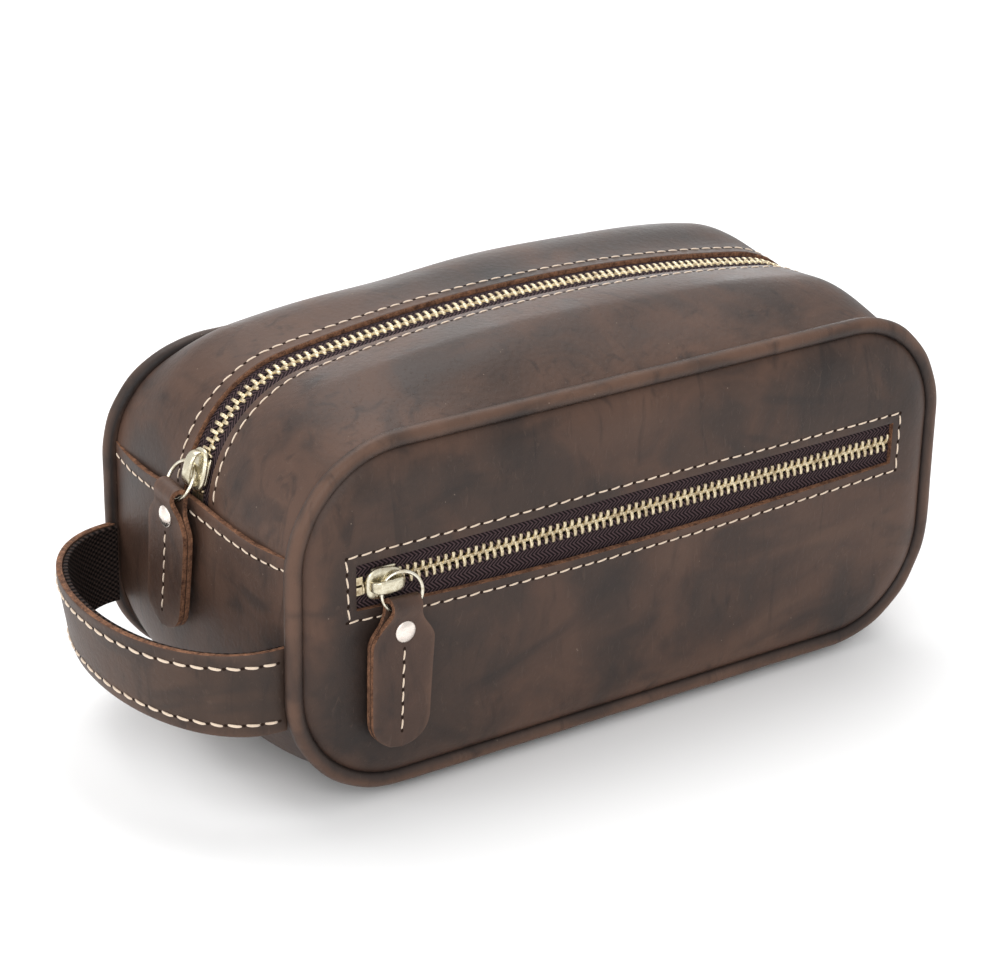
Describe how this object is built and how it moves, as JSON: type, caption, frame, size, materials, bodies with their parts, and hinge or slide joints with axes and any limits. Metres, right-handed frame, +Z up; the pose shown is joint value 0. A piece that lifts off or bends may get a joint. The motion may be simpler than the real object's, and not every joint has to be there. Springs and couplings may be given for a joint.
{
  "type": "toiletry bag",
  "caption": "Boxy brown leather toiletry bag with piped faces, a curved top zip, a zipped front pocket, leather zip pulls and a carrying strap loop on one end.",
  "frame": {"origin": "middle of the bag's footprint, on the surface it stands on", "axes": "+X along the bag away from the strap, +Y from the pocket face to the plain face, +Z up"},
  "size_m": [0.2886, 0.1283, 0.131],
  "materials": {
    "body_leather": "dark brown waxed pull-up leather, mottled, lighter where it is folded or rubbed",
    "piping_leather": "the same leather, rubbed lighter over the cord",
    "strap_leather": "dark brown waxed leather with raw cut edges",
    "pull_leather": "dark brown waxed leather with raw cut edges",
    "webbing": "coarse black-brown woven webbing",
    "zip_tape": "dark brown woven zip tape",
    "zip_metal": "antique brass, dulled",
    "slider": "antique brass casting, worn bright on its edges",
    "pull_ring": "pale antique brass wire",
    "rivet": "pale nickel-plated tubular rivet",
    "lining": "plain dark cotton lining",
    "filler_cord": "twisted filler cord inside the piping"
  },
  "bodies": {
    "bag": {"back_lining": "lining", "back_panel": "body_leather", "back_piping": "piping_leather", "back_piping_cord": "filler_cord", "base_band": "body_leather", "base_lining": "lining", "front_lining": "lining", "front_panel": "body_leather", "front_piping": "piping_leather", "front_piping_cord": "filler_cord", "main_zip_stops": "zip_metal", "main_zip_tape_back": "zip_tape", "main_zip_tape_front": "zip_tape", "main_zip_teeth_back": "zip_metal", "main_zip_teeth_front": "zip_metal", "pocket_pouch": "lining", "pocket_zip_stops": "zip_metal", "pocket_zip_tape_lower": "zip_tape", "pocket_zip_tape_upper": "zip_tape", "pocket_zip_teeth_lower": "zip_metal", "pocket_zip_teeth_upper": "zip_metal", "strap_root_leather": "strap_leather", "strap_root_webbing": "webbing", "top_lining_back": "lining", "top_lining_front": "lining", "top_strip_back": "body_leather", "top_strip_front": "body_leather"},
    "main_slider": {"main_slider": "slider"},
    "main_ring": {"main_pull_ring": "pull_ring"},
    "main_tab": {"main_pull_tab": "pull_leather", "main_pull_rivet": "rivet", "main_pull_rivet_cap": "rivet"},
    "pocket_slider": {"pocket_slider": "slider"},
    "pocket_ring": {"pocket_pull_ring": "pull_ring"},
    "pocket_tab": {"pocket_pull_tab": "pull_leather", "pocket_pull_rivet": "rivet", "pocket_pull_rivet_cap": "rivet"},
    "strap_loop": {"strap_loop_leather": "strap_leather", "strap_loop_webbing": "webbing"}
  },
  "joints": [
    {"name": "main_slider_travel", "type": "hinge", "parent": "bag", "child": "main_slider", "pos_m": [-0.0825, 0, 0.083], "axis": [0, 1, 0], "range_deg": [0, 50]},
    {"name": "main_ring_swing", "type": "hinge", "parent": "main_slider", "child": "main_ring", "pos_m": [-0.12399, 0, 0.09557], "axis": [0.2921, 0.8387, 0.4597], "range_deg": [0, 15]},
    {"name": "main_tab_swing", "type": "hinge", "parent": "main_ring", "child": "main_tab", "pos_m": [-0.1302, 0.00343, 0.08579], "axis": [0, 1, 0], "range_deg": [0, 20]},
    {"name": "pocket_slider_travel", "type": "slide", "parent": "bag", "child": "pocket_slider", "axis": [1, 0, 0], "range_m": [0, 0.19]},
    {"name": "pocket_ring_swing", "type": "hinge", "parent": "pocket_slider", "child": "pocket_ring", "pos_m": [-0.0957, -0.06185, 0.0745], "axis": [-0.5, 0, -0.866], "range_deg": [0, 50]},
    {"name": "pocket_tab_swing", "type": "hinge", "parent": "pocket_ring", "child": "pocket_tab", "pos_m": [-0.09065, -0.06438, 0.06522], "axis": [-1, 0, 0], "range_deg": [0, 22]},
    {"name": "strap_lift", "type": "hinge", "parent": "bag", "child": "strap_loop", "pos_m": [-0.1258, 0, 0.04425], "axis": [0, 1, 0], "range_deg": [-18, 18], "stiffness_Nm_per_rad": 0.05}
  ]
}
